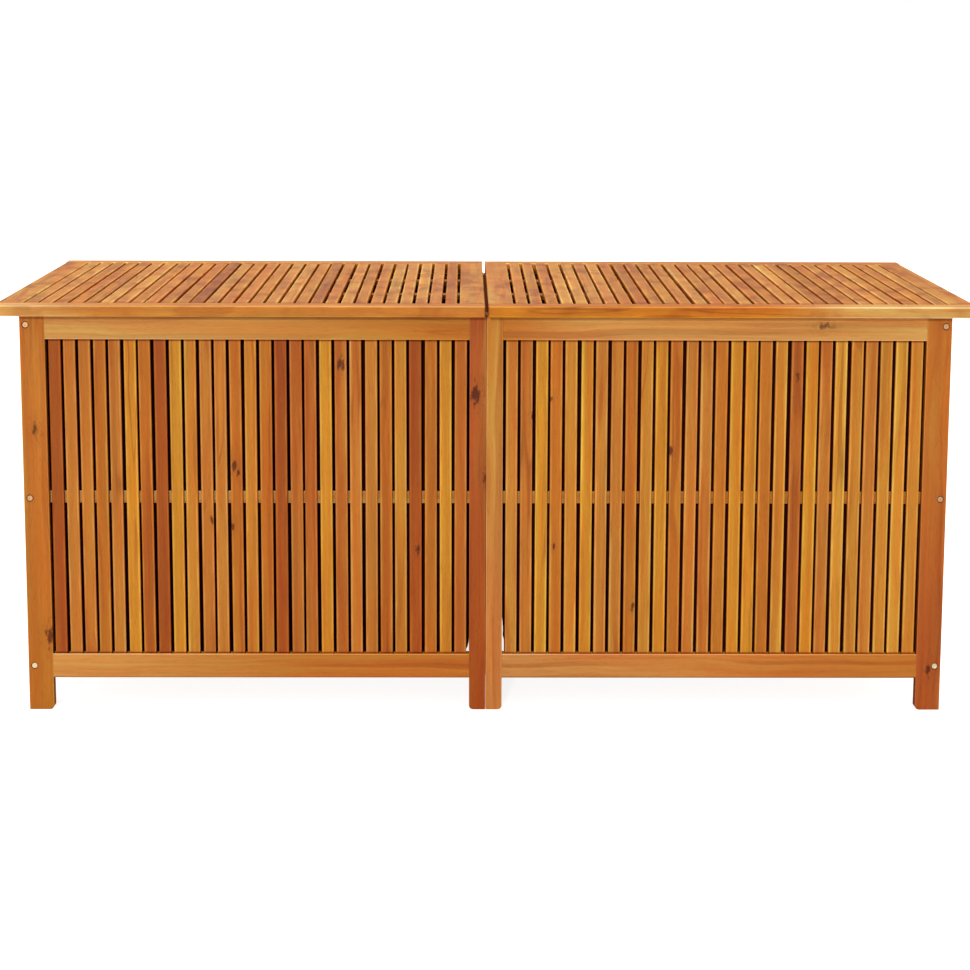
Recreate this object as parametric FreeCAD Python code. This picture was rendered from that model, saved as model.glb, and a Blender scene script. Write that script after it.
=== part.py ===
import FreeCAD, Part
import os
from FreeCAD import Vector

# Garden storage box of slatted hardwood: framed panels on legs, two lids on hinges at the rear, and a
# fabric liner in each compartment. Millimetres. X is the width, the front faces -Y and Z points up.
# The origin is on the ground, in the middle of the width and of the depth.

# Overall size with both lids shut
WIDTH = 1750.0
DEPTH = 800.0
HEIGHT = 750.0

# Lids
SIDE_OVERHANG = 40.0
FRONT_OVERHANG = 40.0
REAR_OVERHANG = 40.0
LID_GAP = 6.0               # between the two lids
LID_SEAT = 0.5              # air between a shut lid and the body
LID_THICK = 20.0
LID_BOARD = 45.0            # width of the frame boards that shows from above
LID_LEDGE = 10.0            # reach of the ledge that carries the slat ends
LID_SLAT_THICK = 10.0
LID_SLAT_END_GAP = 0.6      # between a slat's end and the board beside it
LID_BATTEN_WIDTH = 30.0
LID_BATTENS = 2
LID_EDGE = 3.0              # rounding of the lid's boards
LID_TENON_THICK = 5.0

# Framed panels
FRAME_THICK = 22.0
POST_WIDTH = 45.0           # corner posts and the stiles of the end panels
CENTRE_POST_WIDTH = 30.0
CENTRE_JOINT = 0.5          # joint between the two centre posts
RAIL_HEIGHT = 45.0
LEG_CLEAR = 60.0            # ground to the bottom rails
BATTEN_HEIGHT = 22.0
BATTEN_HOUSING = 8.0        # how far a batten enters the posts
FRAME_EDGE = 2.0            # rounding of posts and rails
FOOT_ROUND = 8.0            # rounding of a foot's inner corner
TENON_LENGTH = 12.0
TENON_THICK = 10.0
TENON_SHOULDER = 6.0
FIT = 0.2                   # clearance round tenons and slat ends

# Slats of the panels and the lids
SLAT_WIDTH = 22.0
SLAT_GAP = 5.0              # aimed at; the gap comes out near it
SLAT_THICK = 10.0
SLAT_SETBACK = 3.0          # slat face behind the frame face
SLAT_HOUSING = 8.0          # how far the ends enter the rails
SLAT_EDGE = 1.5

# Centre frame and floor
CENTRE_THICK = 22.0
CLEAT = 22.0
FLOOR_SLAT_WIDTH = 45.0
FLOOR_SLAT_THICK = 12.0
FLOOR_SLAT_GAP = 10.0
FLOOR_END_GAP = 0.5

# Corner bolts and barrel nuts
BOLT_R = 3.0
BOLT_HEAD_R = 5.5
BOLT_HEAD_HEIGHT = 3.2
BOLT_SOCKET_ACROSS = 4.0    # flat to flat
BOLT_SOCKET_DEPTH = 2.0
BOLT_SINK = 4.0             # depth of the counterbore
BOLT_SINK_R = 6.6
BOLT_HOLE_R = 3.3
BOLT_WALL = 6.0             # wood between the bolt's end and the tenon beyond it
TOP_BOLT_DROP = 19.0        # below the top of the posts
NUT_R = 5.0
NUT_HOLE_CLEARANCE = 0.1
NUT_SIDE_WALL = 4.0         # wood between the nut and the outer face
NUT_TAIL = 7.0              # bolt's end past the nut's centre
NUT_SLOT = 1.2

# Screws
SCREW_R = 1.75
SCREW_HEAD_R = 3.5
SCREW_HEAD_HEIGHT = 1.75
SCREW_CROSS = 0.9           # width of the cross recess
SCREW_CROSS_REACH = 4.0
FRAME_SCREW_LENGTH = 35.0
SCREW_END_INSET = 90.0      # first screw of a cleat or an upright from its end
CLEAT_SCREWS = 4
UPRIGHT_SCREWS = 3

# Hinges
HINGE_LENGTH = 70.0
HINGE_INSET = 130.0         # lid's end to the hinge
KNUCKLES = 5
KNUCKLE_R = 3.2
KNUCKLE_CLEARANCE = 0.3
HINGE_STANDOFF = 3.5        # pin's axis from the wood on both sides
HINGE_LEAF_THICK = 1.5
HINGE_LEAF_MARGIN = 3.0     # leaf's edge to the rounded edge of the lid
HINGE_PIN_R = 1.75
HINGE_PIN_CLEARANCE = 0.05
HINGE_SCREW_LENGTH = 14.0
HINGE_SCREW_INSET = 11.0
HINGE_SCREW_STAGGER = 6.0

# Liners and their press studs
LINER_THICK = 1.5
LINER_CLEARANCE = 1.5       # to the wood round it
LINER_FLOOR_GAP = 0.3
LINER_DROP = 7.5            # liner's hem below the top of the body
STUD_R = 6.0
STUD_CAP = 1.6
STUD_PIN_R = 1.5
STUD_GRIP = 6.0             # pin's length in the wood
STUD_DROP = 6.0             # stud's centre below the hem
STUD_INSET = 70.0           # first stud from the liner's corner
STUDS_ALONG = 5             # on the front and rear walls
STUDS_ACROSS = 4            # on the end and centre walls

# Places worked out from the sizes above
LID_BOTTOM = HEIGHT - LID_THICK
BODY_TOP = LID_BOTTOM - LID_SEAT
BODY_X = WIDTH / 2 - SIDE_OVERHANG
BODY_FRONT = -DEPTH / 2 + FRONT_OVERHANG
BODY_REAR = DEPTH / 2 - REAR_OVERHANG
BODY_MIDDLE = (BODY_FRONT + BODY_REAR) / 2             # of its depth
TOP_RAIL = (BODY_TOP - RAIL_HEIGHT, BODY_TOP)
BOTTOM_RAIL = (LEG_CLEAR, LEG_CLEAR + RAIL_HEIGHT)
BATTEN_LEVEL = (BOTTOM_RAIL[1] + TOP_RAIL[0]) / 2
BOLT_LEVELS = (sum(BOTTOM_RAIL) / 2, BATTEN_LEVEL, BODY_TOP - TOP_BOLT_DROP)
BOLT_REACH = POST_WIDTH - TENON_LENGTH - BOLT_WALL     # into the stile
NUT_DEPTH = BOLT_REACH - NUT_TAIL                      # nut's centre in the stile
NUT_LENGTH = FRAME_THICK - 2 * NUT_SIDE_WALL
HINGE_LEAF_REACH = REAR_OVERHANG - LID_EDGE - HINGE_LEAF_MARGIN - HINGE_STANDOFF
HINGE_AXIS = Vector(0, BODY_REAR + HINGE_STANDOFF, LID_BOTTOM - HINGE_STANDOFF)
INNER_FRONT = BODY_FRONT + FRAME_THICK
INNER_REAR = BODY_REAR - FRAME_THICK
INNER_END = -BODY_X + FRAME_THICK                      # inner face of the left end panel
CENTRE_SIDE = -CENTRE_POST_WIDTH                       # left side of the centre frame
FLOOR_TOP = LEG_CLEAR + CLEAT + FLOOR_SLAT_THICK

ORIGIN = Vector(0, 0, 0)
ALONG_X = Vector(1, 0, 0)
ALONG_Y = Vector(0, 1, 0)
ALONG_Z = Vector(0, 0, 1)
SAME_LENGTH = 1e-6


def block(x, y, z):
    """Box over three (low, high) spans."""
    return Part.makeBox(x[1] - x[0], y[1] - y[0], z[1] - z[0], Vector(x[0], y[0], z[0]))


def board(x, y, z, edge):
    """Box whose four longest edges are rounded."""
    shape = block(x, y, z)
    longest = max(side.Length for side in shape.Edges)
    return shape.makeFillet(edge, [side for side in shape.Edges if longest - side.Length < SAME_LENGTH])


def grown(span, by):
    """Span made longer by the same amount at both ends."""
    return (span[0] - by, span[1] + by)


def mirrored_x(shapes):
    return [shape.mirror(ORIGIN, ALONG_X) for shape in shapes]


def mirrored_y(shapes, middle):
    """Front pieces copied to the rear of a middle plane."""
    return [shape.mirror(Vector(0, middle, 0), ALONG_Y) for shape in shapes]


def moved(shape, offset):
    copy = shape.copy()
    copy.translate(offset)
    return copy


def evenly_placed(span, width, gap):
    """Spans of equal pieces that fill a span with equal gaps close to the one aimed at."""
    field = span[1] - span[0]
    count = max(1, round((field - gap) / (width + gap)))
    true_gap = (field - count * width) / (count + 1)
    starts = [span[0] + true_gap + number * (width + true_gap) for number in range(count)]
    return [(start, start + width) for start in starts]


def evenly_spaced(span, inset, count):
    """Points from one inset end of a span to the other."""
    first, last = span[0] + inset, span[1] - inset
    return [first + (last - first) * number / (count - 1) for number in range(count)]


# --- Framed panels. Each is built with its left edge at x = 0 and its outer face at y = 0. ---

def panel_rail(field, level, groove_side):
    """Rail between two posts, with a tenon at each end and a groove for the slats along one side."""
    middle = FRAME_THICK / 2
    rail = board(field, (0, FRAME_THICK), level, FRAME_EDGE)
    tenons = block(grown(field, TENON_LENGTH), (middle - TENON_THICK / 2, middle + TENON_THICK / 2),
                   grown(level, -TENON_SHOULDER))
    depth = SLAT_HOUSING + FIT
    groove_level = (level[1] - depth, level[1]) if groove_side == "up" else (level[0], level[0] + depth)
    groove = block(field, grown((SLAT_SETBACK, SLAT_SETBACK + SLAT_THICK), FIT), groove_level)
    return rail.fuse(tenons).cut(groove).removeSplitter()


def panel_post(x, inner_side):
    """Post with mortises for rails and batten; its foot is rounded on the side of the panel."""
    post = board(x, (0, FRAME_THICK), (0, BODY_TOP), FRAME_EDGE)
    edge_x = x[1] if inner_side == "right" else x[0]
    inward = -1 if inner_side == "right" else 1
    corner = block(sorted((edge_x, edge_x + inward * FOOT_ROUND)), (0, FRAME_THICK), (0, FOOT_ROUND))
    rounding = Part.makeCylinder(FOOT_ROUND, FRAME_THICK,
                                 Vector(edge_x + inward * FOOT_ROUND, 0, FOOT_ROUND), ALONG_Y)
    post = post.cut(corner.cut(rounding))
    middle = FRAME_THICK / 2
    mortise_x = sorted((edge_x, edge_x + inward * (TENON_LENGTH + FIT)))
    for level in (BOTTOM_RAIL, TOP_RAIL):
        post = post.cut(block(mortise_x, grown((middle - TENON_THICK / 2, middle + TENON_THICK / 2), FIT),
                              grown(level, FIT - TENON_SHOULDER)))
    pocket_x = sorted((edge_x, edge_x + inward * (BATTEN_HOUSING + FIT)))
    pocket_y = (SLAT_SETBACK + SLAT_THICK - FIT, FRAME_THICK)
    return post.cut(block(pocket_x, pocket_y, grown(batten_level(), FIT)))


def batten_level():
    return (BATTEN_LEVEL - BATTEN_HEIGHT / 2, BATTEN_LEVEL + BATTEN_HEIGHT / 2)


def panel(left_width, right_width, width):
    """Framed panel of a given width over its two posts."""
    field = (left_width, width - right_width)
    slat_y = (SLAT_SETBACK, SLAT_SETBACK + SLAT_THICK)
    slat_z = (BOTTOM_RAIL[1] - SLAT_HOUSING, TOP_RAIL[0] + SLAT_HOUSING)
    return {
        "left_post": panel_post((0, left_width), "right"),
        "right_post": panel_post((field[1], width), "left"),
        "top_rail": panel_rail(field, TOP_RAIL, "down"),
        "bottom_rail": panel_rail(field, BOTTOM_RAIL, "up"),
        "batten": board(grown(field, BATTEN_HOUSING), (slat_y[1], FRAME_THICK), batten_level(), SLAT_EDGE),
        "slats": [board(x, slat_y, slat_z, SLAT_EDGE)
                  for x in evenly_placed(field, SLAT_WIDTH, SLAT_GAP)],
    }


def bolt_holes():
    """Holes through a corner post, whose outer edge is at x = 0, with the sunk seats of the heads."""
    holes = []
    for level in BOLT_LEVELS:
        place = Vector(FRAME_THICK / 2, 0, level)
        holes.append(Part.makeCylinder(BOLT_HOLE_R, FRAME_THICK, place, ALONG_Y))
        holes.append(Part.makeCylinder(BOLT_SINK_R, BOLT_SINK, place, ALONG_Y))
    return Part.makeCompound(holes)


def stile_holes():
    """Holes in the stile at x = 0 of an end panel: the bolt's, and the barrel nut's across it."""
    holes = []
    for level in BOLT_LEVELS:
        holes.append(Part.makeCylinder(BOLT_HOLE_R, BOLT_REACH + BOLT_WALL / 3,
                                       Vector(0, FRAME_THICK / 2, level), ALONG_X))
        holes.append(Part.makeCylinder(NUT_R + NUT_HOLE_CLEARANCE, FRAME_THICK - NUT_SIDE_WALL,
                                       Vector(NUT_DEPTH, NUT_SIDE_WALL, level), ALONG_Y))
    return Part.makeCompound(holes)


def front_left_panel():
    """Half panel from the corner to the middle of the front."""
    parts = panel(POST_WIDTH, CENTRE_POST_WIDTH - CENTRE_JOINT / 2, BODY_X - CENTRE_JOINT / 2)
    place = Vector(-BODY_X, BODY_FRONT, 0)
    return {
        "corner_post": [moved(parts["left_post"].cut(bolt_holes()), place)],
        "centre_post": [moved(parts["right_post"], place)],
        "top_rail": [moved(parts["top_rail"], place)],
        "bottom_rail": [moved(parts["bottom_rail"], place)],
        "batten": [moved(parts["batten"], place)],
        "slats": [moved(slat, place) for slat in parts["slats"]],
    }


def left_end_panel():
    """End panel between the front and rear panels."""
    length = INNER_REAR - INNER_FRONT
    parts = panel(POST_WIDTH, POST_WIDTH, length)
    holes = stile_holes()
    far_holes = moved(holes.mirror(ORIGIN, ALONG_X), Vector(length, 0, 0))

    def turned(shape):
        return moved(shape.rotate(ORIGIN, ALONG_Z, -90), Vector(-BODY_X, INNER_REAR, 0))

    return {
        "stiles": [turned(parts["left_post"].cut(holes)), turned(parts["right_post"].cut(far_holes))],
        "rails": [turned(parts["top_rail"]), turned(parts["bottom_rail"])],
        "batten": [turned(parts["batten"])],
        "slats": [turned(slat) for slat in parts["slats"]],
    }


# --- Corner bolts and barrel nuts ---

def hexagon(across, height):
    """Hexagonal prism on the Z axis."""
    side = Part.makeBox(across, 2 * across, height, Vector(-across / 2, -across, 0))
    prism = side
    for turn in (60, 120):
        prism = prism.common(side.copy().rotate(ORIGIN, ALONG_Z, turn))
    return prism


def corner_bolt():
    """Bolt pointing along +Z, with its head's seat at z = 0."""
    head = Part.makeCylinder(BOLT_HEAD_R, BOLT_HEAD_HEIGHT, Vector(0, 0, -BOLT_HEAD_HEIGHT))
    rim = [edge for edge in head.Edges if edge.BoundBox.ZMax < SAME_LENGTH - BOLT_HEAD_HEIGHT]
    head = head.makeChamfer(BOLT_HEAD_HEIGHT / 4, rim)
    shank = Part.makeCylinder(BOLT_R, FRAME_THICK - BOLT_SINK + BOLT_REACH)
    socket = moved(hexagon(BOLT_SOCKET_ACROSS, BOLT_SOCKET_DEPTH), Vector(0, 0, -BOLT_HEAD_HEIGHT))
    return head.fuse(shank).cut(socket).removeSplitter()


def barrel_nut():
    """Nut along X, centred on the origin, with the bolt's hole along Y and a slot in one end."""
    barrel = Part.makeCylinder(NUT_R, NUT_LENGTH, Vector(-NUT_LENGTH / 2, 0, 0), ALONG_X)
    hole = Part.makeCylinder(BOLT_R + NUT_HOLE_CLEARANCE, 2 * NUT_R, Vector(0, -NUT_R, 0), ALONG_Y)
    slot = block((NUT_LENGTH / 2 - NUT_SLOT, NUT_LENGTH / 2), (-NUT_R, NUT_R), (-NUT_SLOT / 2, NUT_SLOT / 2))
    return barrel.cut(hole).cut(slot)


def corner_fixings():
    """Bolts and nuts of the front left corner."""
    x = -BODY_X + FRAME_THICK / 2
    bolt = corner_bolt().rotate(ORIGIN, ALONG_X, -90)
    bolts = [moved(bolt, Vector(x, BODY_FRONT + BOLT_SINK, level)) for level in BOLT_LEVELS]
    nuts = [moved(barrel_nut(), Vector(x, INNER_FRONT + NUT_DEPTH, level)) for level in BOLT_LEVELS]
    return bolts, nuts


# --- Screws ---

def screw(length):
    """Countersunk screw pointing along +Z, with the face of its head at z = 0."""
    head = Part.makeCone(SCREW_HEAD_R, SCREW_R, SCREW_HEAD_HEIGHT)
    shape = head.fuse(Part.makeCylinder(SCREW_R, length))
    reach, half = (-SCREW_CROSS_REACH / 2, SCREW_CROSS_REACH / 2), (-SCREW_CROSS / 2, SCREW_CROSS / 2)
    depth = (0, SCREW_CROSS)
    return shape.cut(block(reach, half, depth).fuse(block(half, reach, depth)))


def driven(length, place, direction):
    """Screw with its head's face at a place, driven in a direction."""
    shape = screw(length)
    shape.Placement = FreeCAD.Placement(place, FreeCAD.Rotation(ALONG_Z, direction))
    return shape


# --- Centre frame and floor. The fronts and the left halves are built and then mirrored. ---

def centre_upright():
    return board((CENTRE_SIDE, -CENTRE_SIDE), (INNER_FRONT, INNER_FRONT + CENTRE_THICK),
                 (LEG_CLEAR, BODY_TOP), FRAME_EDGE)


def centre_beams():
    """Flat beams between the uprights, under the meeting edges of the lids and at the floor."""
    x = (CENTRE_SIDE, -CENTRE_SIDE)
    y = (INNER_FRONT + CENTRE_THICK, INNER_REAR - CENTRE_THICK)
    return [board(x, y, z, FRAME_EDGE)
            for z in ((BODY_TOP - CENTRE_THICK, BODY_TOP), (LEG_CLEAR, LEG_CLEAR + CENTRE_THICK))]


def floor_cleat():
    """Left half of the front cleat."""
    return board((INNER_END, CENTRE_SIDE), (INNER_FRONT, INNER_FRONT + CLEAT),
                 (LEG_CLEAR, LEG_CLEAR + CLEAT), FRAME_EDGE)


def floor_slats():
    """Floor slats of the left compartment."""
    y = (INNER_FRONT + FLOOR_END_GAP, INNER_REAR - FLOOR_END_GAP)
    z = (FLOOR_TOP - FLOOR_SLAT_THICK, FLOOR_TOP)
    return [board(x, y, z, SLAT_EDGE)
            for x in evenly_placed((INNER_END, CENTRE_SIDE), FLOOR_SLAT_WIDTH, FLOOR_SLAT_GAP)]


def frame_screws():
    """Screws of the front left quarter: upright to centre post, and cleat to bottom rail."""
    outward = Vector(0, -1, 0)
    screws = [driven(FRAME_SCREW_LENGTH, Vector(CENTRE_SIDE / 2, INNER_FRONT + CENTRE_THICK, z), outward)
              for z in evenly_spaced((LEG_CLEAR, BODY_TOP), SCREW_END_INSET, UPRIGHT_SCREWS)]
    screws += [driven(FRAME_SCREW_LENGTH, Vector(x, INNER_FRONT + CLEAT, LEG_CLEAR + CLEAT / 2), outward)
               for x in evenly_spaced((INNER_END, CENTRE_SIDE), SCREW_END_INSET, CLEAT_SCREWS)]
    return screws


# --- Lids ---

LID_X = (-WIDTH / 2, -LID_GAP / 2)                     # left lid
LID_Y = (-DEPTH / 2, DEPTH / 2)
LID_Z = (LID_BOTTOM, HEIGHT)
LID_LEDGE_Z = (LID_BOTTOM, HEIGHT - LID_SLAT_THICK)
LID_FIELD_X = grown(LID_X, -LID_BOARD)
LID_FIELD_Y = grown(LID_Y, -LID_BOARD)


def lid_tenon(x, clearance):
    """Tenon at the front end of an end board."""
    middle = (LID_LEDGE_Z[1] + HEIGHT) / 2
    return block(grown(x, clearance - LID_BOARD / 4),
                 (LID_FIELD_Y[0] - TENON_LENGTH - clearance, LID_FIELD_Y[0]),
                 grown((middle - LID_TENON_THICK / 2, middle + LID_TENON_THICK / 2), clearance))


def lid_end_spans():
    """The two end boards of the left lid, from side to side."""
    return ((LID_X[0], LID_FIELD_X[0]), (LID_FIELD_X[1], LID_X[1]))


def lid_front_rail():
    """Board across the front with a ledge for the slat ends and a mortise for each end board."""
    rail = board(LID_X, (LID_Y[0], LID_FIELD_Y[0]), LID_Z, LID_EDGE)
    ledge = block(LID_X, (LID_FIELD_Y[0] - LID_EDGE, LID_FIELD_Y[0] + LID_LEDGE), LID_LEDGE_Z)
    rail = rail.fuse(ledge)
    for x in lid_end_spans():
        rail = rail.cut(lid_tenon(x, FIT))
    return rail.removeSplitter()


def lid_end_board(x):
    """Board between the front and rear rails, lapped over their ledges."""
    shape = board(x, LID_FIELD_Y, LID_Z, LID_EDGE)
    tenon = lid_tenon(x, 0)
    lap = block(grown(x, FIT), (LID_FIELD_Y[0], LID_FIELD_Y[0] + LID_LEDGE), grown(LID_LEDGE_Z, FIT))
    for piece in (lap, lap.mirror(ORIGIN, ALONG_Y)):
        shape = shape.cut(piece)
    return shape.fuse([tenon, tenon.mirror(ORIGIN, ALONG_Y)]).removeSplitter()


def lid_slats():
    y = grown(LID_FIELD_Y, -LID_SLAT_END_GAP)
    z = (LID_LEDGE_Z[1], HEIGHT)
    return [board(x, y, z, SLAT_EDGE) for x in evenly_placed(LID_FIELD_X, SLAT_WIDTH, SLAT_GAP)]


def lid_battens():
    """Battens under the slats that divide their length evenly."""
    x = grown(LID_FIELD_X, -FIT)
    centres = [LID_FIELD_Y[0] + (LID_FIELD_Y[1] - LID_FIELD_Y[0]) * number / (LID_BATTENS + 1)
               for number in range(1, LID_BATTENS + 1)]
    half = LID_BATTEN_WIDTH / 2
    return [board(x, (centre - half, centre + half), LID_LEDGE_Z, SLAT_EDGE) for centre in centres]


# --- Hinges. Each is built with its pin along X from x = 0; the body leaf lies on a wall at -Y. ---

def knuckle_span(number):
    """One knuckle's span along the pin, with half of the running gap off each side."""
    length = HINGE_LENGTH / KNUCKLES
    return grown((number * length, (number + 1) * length), -KNUCKLE_CLEARANCE / 2)


def rod(radius, span):
    """Cylinder round the pin's axis."""
    return Part.makeCylinder(radius, span[1] - span[0], Vector(span[0], 0, 0), ALONG_X)


def hinge_screw_places():
    """Face of each screw head on the outside of a leaf."""
    y = HINGE_LEAF_THICK - HINGE_STANDOFF
    middle = -HINGE_STANDOFF - (HINGE_LEAF_REACH - HINGE_STANDOFF) / 2
    lows = (middle - HINGE_SCREW_STAGGER / 2, middle + HINGE_SCREW_STAGGER / 2)
    xs = evenly_spaced((0, HINGE_LENGTH), HINGE_SCREW_INSET, 3)
    return [Vector(x, y, z) for x, z in zip(xs, (lows[0], lows[1], lows[0]))]


def hinge_leaf(own_knuckles, other_knuckles):
    """Leaf with its knuckles, and notches in which the other leaf's knuckles turn."""
    leaf = block((0, HINGE_LENGTH), (-HINGE_STANDOFF, HINGE_LEAF_THICK - HINGE_STANDOFF),
                 (-HINGE_LEAF_REACH, 0))
    for number in other_knuckles:
        notch = grown(knuckle_span(number), KNUCKLE_CLEARANCE)
        leaf = leaf.cut(rod(KNUCKLE_R + KNUCKLE_CLEARANCE, notch))
    leaf = leaf.fuse([rod(KNUCKLE_R, knuckle_span(number)) for number in own_knuckles])
    leaf = leaf.cut(rod(HINGE_PIN_R + HINGE_PIN_CLEARANCE, (0, HINGE_LENGTH)))
    for place in hinge_screw_places():
        leaf = leaf.cut(Part.makeCone(SCREW_HEAD_R, SCREW_R, SCREW_HEAD_HEIGHT, place, Vector(0, -1, 0)))
    return leaf.removeSplitter()


def on_lid(shape):
    """Body leaf's shape swung over to the underside of the lid."""
    return shape.mirror(ORIGIN, Vector(0, 1, 1))


def hinges():
    """Hinge pieces of the left lid."""
    even, odd = range(0, KNUCKLES, 2), range(1, KNUCKLES, 2)
    screws = Part.makeCompound([driven(HINGE_SCREW_LENGTH, place, Vector(0, -1, 0))
                                for place in hinge_screw_places()])
    one = {
        "body_leaves": hinge_leaf(even, odd),
        "lid_leaves": on_lid(hinge_leaf(odd, even)),
        "body_screws": screws,
        "lid_screws": on_lid(screws),
        "pins": rod(HINGE_PIN_R, (0, HINGE_LENGTH)),
    }
    starts = (LID_X[0] + HINGE_INSET, LID_X[1] - HINGE_INSET - HINGE_LENGTH)
    return {name: [moved(shape, HINGE_AXIS + Vector(x, 0, 0)) for x in starts]
            for name, shape in one.items()}


# --- Liners ---

LINER_X = (INNER_END + LINER_CLEARANCE, CENTRE_SIDE - LINER_CLEARANCE)
LINER_Y = (INNER_FRONT + LINER_CLEARANCE, INNER_REAR - LINER_CLEARANCE)
LINER_Z = (FLOOR_TOP + LINER_FLOOR_GAP, BODY_TOP - LINER_DROP)


def liner():
    """Left liner: four walls and a base, sewn edge to edge."""
    inner_x, inner_y = grown(LINER_X, -LINER_THICK), grown(LINER_Y, -LINER_THICK)
    return [
        block(LINER_X, (LINER_Y[0], inner_y[0]), LINER_Z),
        block(LINER_X, (inner_y[1], LINER_Y[1]), LINER_Z),
        block((LINER_X[0], inner_x[0]), inner_y, LINER_Z),
        block((inner_x[1], LINER_X[1]), inner_y, LINER_Z),
        block(inner_x, inner_y, (LINER_Z[0], LINER_Z[0] + LINER_THICK)),
    ]


def stud(place, outward):
    """Press stud with its cap on the liner's inner face and its pin in the wood."""
    cap = Part.makeCylinder(STUD_R, STUD_CAP, ORIGIN, Vector(0, 0, -1))
    pin = Part.makeCylinder(STUD_PIN_R, LINER_THICK + LINER_CLEARANCE + STUD_GRIP)
    shape = cap.fuse(pin).removeSplitter()
    shape.Placement = FreeCAD.Placement(place, FreeCAD.Rotation(ALONG_Z, outward))
    return shape


def liner_studs():
    """Studs round the left liner."""
    z = LINER_Z[1] - STUD_DROP - STUD_R / 2
    inner_x, inner_y = grown(LINER_X, -LINER_THICK), grown(LINER_Y, -LINER_THICK)
    studs = []
    for x in evenly_spaced(LINER_X, STUD_INSET, STUDS_ALONG):
        studs.append(stud(Vector(x, inner_y[0], z), Vector(0, -1, 0)))
        studs.append(stud(Vector(x, inner_y[1], z), Vector(0, 1, 0)))
    for y in evenly_spaced(LINER_Y, STUD_INSET, STUDS_ACROSS):
        studs.append(stud(Vector(inner_x[0], y, z), Vector(-1, 0, 0)))
        studs.append(stud(Vector(inner_x[1], y, z), Vector(1, 0, 0)))
    return studs


# --- Nodes ---

def nodes():
    """Every node of the box with its solids."""
    result = {}
    for part, shapes in front_left_panel().items():
        rear = mirrored_y(shapes, BODY_MIDDLE)
        result["front_left_" + part] = shapes
        result["front_right_" + part] = mirrored_x(shapes)
        result["rear_left_" + part] = rear
        result["rear_right_" + part] = mirrored_x(rear)
    for part, shapes in left_end_panel().items():
        result["left_end_" + part] = shapes
        result["right_end_" + part] = mirrored_x(shapes)

    hinge = hinges()
    front_rail = [lid_front_rail()]
    lid = {
        "front_rail": front_rail,
        "rear_rail": mirrored_y(front_rail, 0),
        "end_boards": [lid_end_board(x) for x in lid_end_spans()],
        "slats": lid_slats(),
        "battens": lid_battens(),
        "hinge_leaves": hinge["lid_leaves"],
        "hinge_screws": hinge["lid_screws"],
    }
    for part, shapes in lid.items():
        result["left_lid_" + part] = shapes
        result["right_lid_" + part] = mirrored_x(shapes)
    for part, name in (("body_leaves", "hinge_body_leaves"), ("body_screws", "hinge_body_screws"),
                       ("pins", "hinge_pins")):
        result[name] = hinge[part] + mirrored_x(hinge[part])

    bolts, nuts = corner_fixings()
    quarters = {"corner_bolts": bolts, "barrel_nuts": nuts, "floor_cleats": [floor_cleat()],
                "frame_screws": frame_screws()}
    for name, shapes in quarters.items():
        front = shapes + mirrored_x(shapes)
        result[name] = front + mirrored_y(front, BODY_MIDDLE)
    result["centre_uprights"] = [centre_upright()] + mirrored_y([centre_upright()], BODY_MIDDLE)
    result["centre_beams"] = centre_beams()
    result["floor_slats"] = floor_slats() + mirrored_x(floor_slats())
    result["left_liner"] = liner()
    result["right_liner"] = mirrored_x(liner())
    result["liner_studs"] = liner_studs() + mirrored_x(liner_studs())
    return result


os.makedirs("parts", exist_ok=True)
for node, shapes in nodes().items():
    Part.makeCompound([solid for shape in shapes for solid in shape.Solids]).exportStep(f"parts/{node}.step")
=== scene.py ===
import math
import random

import bmesh
import bpy
from mathutils import Matrix, Vector


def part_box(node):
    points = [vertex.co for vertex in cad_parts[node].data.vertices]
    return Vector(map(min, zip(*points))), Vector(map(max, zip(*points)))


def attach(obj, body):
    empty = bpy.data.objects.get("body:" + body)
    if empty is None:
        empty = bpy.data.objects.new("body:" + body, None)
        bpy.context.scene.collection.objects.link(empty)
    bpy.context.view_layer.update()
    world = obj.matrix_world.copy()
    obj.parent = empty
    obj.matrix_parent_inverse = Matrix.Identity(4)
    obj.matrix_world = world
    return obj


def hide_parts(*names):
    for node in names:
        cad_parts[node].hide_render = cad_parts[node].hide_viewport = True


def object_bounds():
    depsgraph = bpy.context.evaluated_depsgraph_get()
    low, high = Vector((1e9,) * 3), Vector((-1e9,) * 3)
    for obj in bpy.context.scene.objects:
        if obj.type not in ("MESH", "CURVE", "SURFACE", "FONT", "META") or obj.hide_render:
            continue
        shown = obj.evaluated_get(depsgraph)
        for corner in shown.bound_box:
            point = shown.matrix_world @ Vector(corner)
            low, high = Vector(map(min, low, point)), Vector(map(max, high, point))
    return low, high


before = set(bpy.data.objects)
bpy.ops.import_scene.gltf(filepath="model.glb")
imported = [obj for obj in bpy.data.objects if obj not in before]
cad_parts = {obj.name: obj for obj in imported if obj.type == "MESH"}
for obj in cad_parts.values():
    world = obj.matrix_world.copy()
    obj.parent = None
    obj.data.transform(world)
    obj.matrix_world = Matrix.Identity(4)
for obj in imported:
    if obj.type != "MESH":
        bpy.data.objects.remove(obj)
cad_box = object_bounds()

# Looks of the slatted deck box: oiled hardwood, zinc plated fittings, dark fabric liners, a white studio.
# Lengths are in metres. The front faces -Y and Z points up.

LOWEST, HIGHEST = (Vector(corner) for corner in cad_box)

# --- Colours, as seen in daylight: red, green and blue from 0 to 255 ---

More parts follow.
